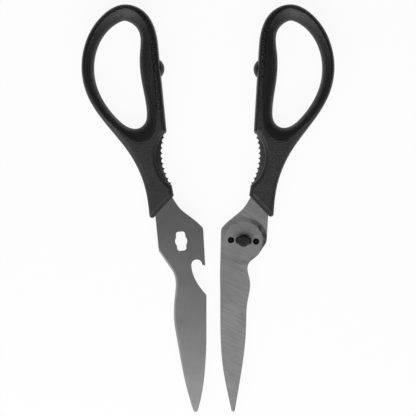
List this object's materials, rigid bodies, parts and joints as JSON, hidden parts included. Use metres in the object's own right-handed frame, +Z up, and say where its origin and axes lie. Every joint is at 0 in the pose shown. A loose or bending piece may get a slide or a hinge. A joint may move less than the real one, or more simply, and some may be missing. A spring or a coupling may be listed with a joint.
{
  "type": "kitchen shears",
  "caption": "Come-apart kitchen shears laid side by side: slotted half with bottle-opener hook, stud half with bone notch, toothed tangs and lined finger loops.",
  "frame": {"origin": "centre of the whole pair's box, at the underside of the handles", "axes": "+Z up from the table, +Y from the blade tips to the finger loops, +X from the slotted half to the stud half"},
  "size_m": [0.14, 0.2252, 0.013],
  "materials": {
    "left_steel": "satin",
    "right_steel": "ground satin",
    "handle_plastic": "fine grained matte",
    "grip_lining": "fine grained soft touch",
    "bumper_rubber": "smooth",
    "pivot_metal": "blackened"
  },
  "bodies": {
    "slotted_half": {"left_blade": "left_steel", "left_handle": "handle_plastic", "left_grip_lining": "grip_lining", "left_bumper": "bumper_rubber"},
    "stud_half": {"right_blade": "right_steel", "right_handle": "handle_plastic", "right_grip_lining": "grip_lining", "right_bumper": "bumper_rubber", "pivot_stud": "pivot_metal", "pivot_base_plate": "pivot_metal", "locating_pins": "pivot_metal"}
  },
  "joints": [
    {"name": "pivot", "type": "hinge", "parent": "slotted_half", "child": "stud_half", "pos_m": [0.01966, -0.01811, 0.0065], "axis": [0, 0, -1], "range_deg": [-8.8, 81.2]}
  ]
}
